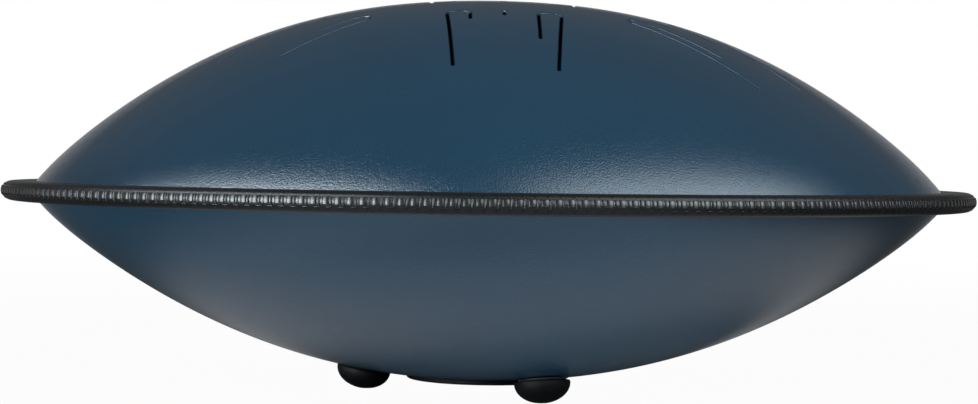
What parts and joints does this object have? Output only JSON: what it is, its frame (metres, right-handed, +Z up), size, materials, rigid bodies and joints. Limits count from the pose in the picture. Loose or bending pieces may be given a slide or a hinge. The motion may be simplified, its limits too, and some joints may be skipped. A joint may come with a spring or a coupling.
{
  "type": "steel tongue drum",
  "caption": "Lens-shaped steel tongue drum: a domed shell with hooked tongue slots bonded to a lower dome with a sound hole, soft rim trim and rubber feet.",
  "frame": {"origin": "on the floor, under the middle of the drum", "axes": "+Z up along the axis of the drum; -Y towards the front tongue and the camera; +X to the right seen from the front"},
  "size_m": [0.56, 0.56, 0.227],
  "materials": {
    "shell_paint": "satin powder coat with a fine grain, dark blue-green",
    "rim_trim": "embossed soft plastic, low sheen",
    "clip_steel": "bare rolled steel",
    "rubber": "matt black",
    "adhesive": "cured elastic adhesive"
  },
  "bodies": {
    "root": {"top_shell": "shell_paint", "bottom_shell": "shell_paint", "flange_bond": "adhesive", "rim_trim": "rim_trim", "rim_trim_clip": "clip_steel", "sound_hole_edging": "rubber", "foot_1": "rubber", "foot_2": "rubber", "foot_3": "rubber", "foot_pad_1": "adhesive", "foot_pad_2": "adhesive", "foot_pad_3": "adhesive"}
  },
  "joints": []
}
